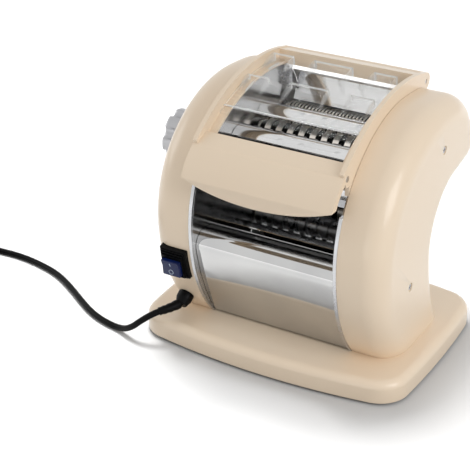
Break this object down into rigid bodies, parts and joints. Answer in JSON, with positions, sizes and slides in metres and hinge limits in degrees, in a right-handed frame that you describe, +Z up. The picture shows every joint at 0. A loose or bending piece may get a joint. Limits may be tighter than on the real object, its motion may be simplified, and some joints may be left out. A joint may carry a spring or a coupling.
{
  "type": "electric pasta machine",
  "caption": "Countertop electric pasta machine with smooth rollers, two strip cutters, a hinged clear guard, a thickness knob and a rocker switch",
  "frame": {"origin": "centre of the base's bounding box at the floor", "axes": "+X to the right seen from the front, -Y is the front, +Z is up"},
  "size_m": [0.6214, 0.3165, 0.2781],
  "materials": {
    "cream": "cream, smooth gloss",
    "steel": "polished stainless sheet",
    "trim": "satin strip",
    "clear": "clear polycarbonate",
    "roller": "ground steel",
    "comb": "stamped steel",
    "bush": "white acetal",
    "gear": "plain steel",
    "train": "moulded acetal",
    "motor_paint": "black enamel",
    "capacitor": "grey moulded case",
    "knob_metal": "polished grey casting",
    "index": "satin disc",
    "fastener": "plated steel",
    "black": "black moulded",
    "blue": "blue moulded",
    "rubber": "moulded",
    "pins": "plated"
  },
  "bodies": {
    "machine": {"back_cover": "steel", "base": "cream", "base_floor_plate": "gear", "base_screws": "fastener", "cord_coil": "black", "cord_gland": "black", "divider_front": "steel", "divider_rear": "steel", "fine_cutter_combs": "comb", "front_chute": "steel", "gear_axles": "gear", "hinge_lugs": "fastener", "hinge_pins": "fastener", "housing_screws": "fastener", "index_plate": "index", "left_housing": "cream", "left_side_plate": "steel", "left_trim_strip": "trim", "motor_bracket": "gear", "motor_case": "motor_paint", "plug_body": "black", "plug_pins": "pins", "power_cord": "black", "right_housing": "cream", "right_side_plate": "steel", "right_trim_strip": "trim", "roller_bushes": "bush", "roller_scrapers": "comb", "rubber_feet": "rubber", "run_capacitor": "capacitor", "slide_plate": "steel", "switch_bezel": "black", "switch_body": "black", "tie_rods": "gear", "wide_cutter_combs": "comb"},
    "guard": {"guard_frame": "cream", "guard_window": "clear", "guard_rivets": "fastener"},
    "regulator": {"regulator_shaft": "gear", "knob_spring": "fastener"},
    "knob": {"knob": "knob_metal"},
    "carrier": {"roller_carrier": "gear"},
    "smooth_front": {"smooth_roller_front": "roller", "smooth_gear_front": "gear"},
    "smooth_rear": {"smooth_roller_rear": "roller", "smooth_gear_rear": "gear"},
    "wide_front": {"wide_cutter_front": "roller", "wide_gear_front": "gear"},
    "wide_rear": {"wide_cutter_rear": "roller", "wide_gear_rear": "gear"},
    "fine_front": {"fine_cutter_front": "roller", "fine_gear_front": "gear"},
    "fine_rear": {"fine_cutter_rear": "roller", "fine_gear_rear": "gear"},
    "idler": {"idler_gear": "train"},
    "reducer": {"reduction_gear": "train"},
    "motor": {"motor_rotor": "gear", "motor_pinion": "gear"},
    "rocker": {"rocker": "blue"}
  },
  "joints": [
    {"name": "guard_hinge", "type": "hinge", "parent": "machine", "child": "guard", "pos_m": [0, 0.0865, 0.2618], "axis": [-1, 0, 0], "range_deg": [0, 65]},
    {"name": "knob_turn", "type": "hinge", "parent": "machine", "child": "regulator", "pos_m": [-0.128, -0.0215, 0.195], "axis": [1, 0, 0], "range_deg": [0, 225]},
    {"name": "knob_pull", "type": "slide", "parent": "regulator", "child": "knob", "axis": [-1, 0, 0], "range_m": [0, 0.005], "stiffness_N_per_m": 400, "deforming": ["knob_spring"]},
    {"name": "roller_gap", "type": "slide", "parent": "machine", "child": "carrier", "axis": [0, 1, 0], "range_m": [0, 0.0018]},
    {"name": "motor_spin", "type": "hinge", "parent": "machine", "child": "motor", "pos_m": [0, -0.01914, 0.09845], "axis": [1, 0, 0], "continuous": true},
    {"name": "reducer_spin", "type": "hinge", "parent": "machine", "child": "reducer", "pos_m": [0, -0.01044, 0.1309], "axis": [1, 0, 0], "continuous": true},
    {"name": "idler_spin", "type": "hinge", "parent": "machine", "child": "idler", "pos_m": [0, -0.0195, 0.16471], "axis": [1, 0, 0], "continuous": true},
    {"name": "smooth_front_spin", "type": "hinge", "parent": "machine", "child": "smooth_front", "pos_m": [0, -0.0475, 0.195], "axis": [1, 0, 0], "continuous": true},
    {"name": "smooth_rear_spin", "type": "hinge", "parent": "carrier", "child": "smooth_rear", "pos_m": [0, -0.0215, 0.195], "axis": [1, 0, 0], "continuous": true},
    {"name": "wide_front_spin", "type": "hinge", "parent": "machine", "child": "wide_front", "pos_m": [0, 0.0085, 0.195], "axis": [1, 0, 0], "continuous": true},
    {"name": "wide_rear_spin", "type": "hinge", "parent": "machine", "child": "wide_rear", "pos_m": [0, 0.0345, 0.195], "axis": [1, 0, 0], "continuous": true},
    {"name": "fine_front_spin", "type": "hinge", "parent": "machine", "child": "fine_front", "pos_m": [0, 0.0631, 0.195], "axis": [1, 0, 0], "continuous": true},
    {"name": "fine_rear_spin", "type": "hinge", "parent": "machine", "child": "fine_rear", "pos_m": [0, 0.0891, 0.195], "axis": [1, 0, 0], "continuous": true},
    {"name": "rocker_press", "type": "hinge", "parent": "machine", "child": "rocker", "pos_m": [-0.1, -0.10163, 0.09561], "axis": [1, 0, 0], "range_deg": [0, 18]}
  ],
  "couplings": [
    {"joint": "knob_turn", "follows": "roller_gap", "rad_per_m": 2181.7},
    {"joint": "reducer_spin", "follows": "motor_spin", "ratio": -0.16667},
    {"joint": "idler_spin", "follows": "motor_spin", "ratio": 0.066667},
    {"joint": "smooth_front_spin", "follows": "motor_spin", "ratio": -0.10256},
    {"joint": "smooth_rear_spin", "follows": "motor_spin", "ratio": 0.10256},
    {"joint": "wide_front_spin", "follows": "motor_spin", "ratio": -0.10256},
    {"joint": "wide_rear_spin", "follows": "motor_spin", "ratio": 0.10256},
    {"joint": "fine_front_spin", "follows": "motor_spin", "ratio": -0.10256},
    {"joint": "fine_rear_spin", "follows": "motor_spin", "ratio": 0.10256}
  ]
}
